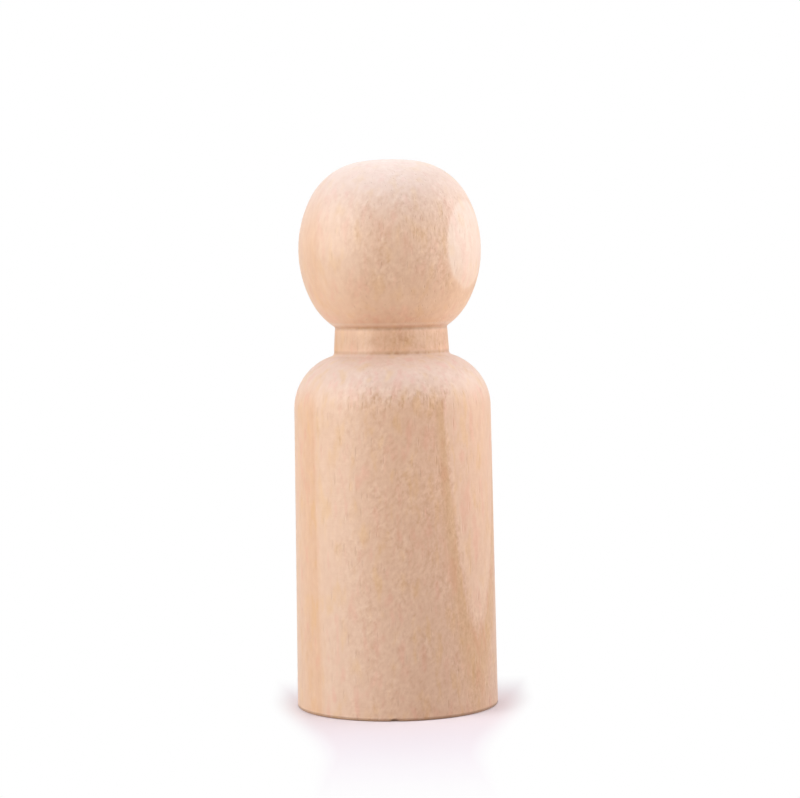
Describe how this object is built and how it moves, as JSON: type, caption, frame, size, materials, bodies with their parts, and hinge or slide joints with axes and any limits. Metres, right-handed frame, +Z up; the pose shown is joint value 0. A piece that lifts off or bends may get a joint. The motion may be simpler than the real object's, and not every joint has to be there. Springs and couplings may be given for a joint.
{
  "type": "peg doll",
  "caption": "Bare wooden peg doll turned in one piece: tapered round body with rounded shoulders, short neck and squarish ball head; stands on its flat base.",
  "frame": {"origin": "centre of the flat base, on the axis of the turning", "axes": "+Z up along the axis of the turning, from the base to the crown; -Y towards the viewer of the picture"},
  "size_m": [0.0202, 0.0202, 0.055],
  "materials": {
    "bare_wood": "bare sanded pale hardwood, upright grain, matt with a faint sheen"
  },
  "bodies": {
    "root": {"peg_doll": "bare_wood"}
  },
  "joints": []
}
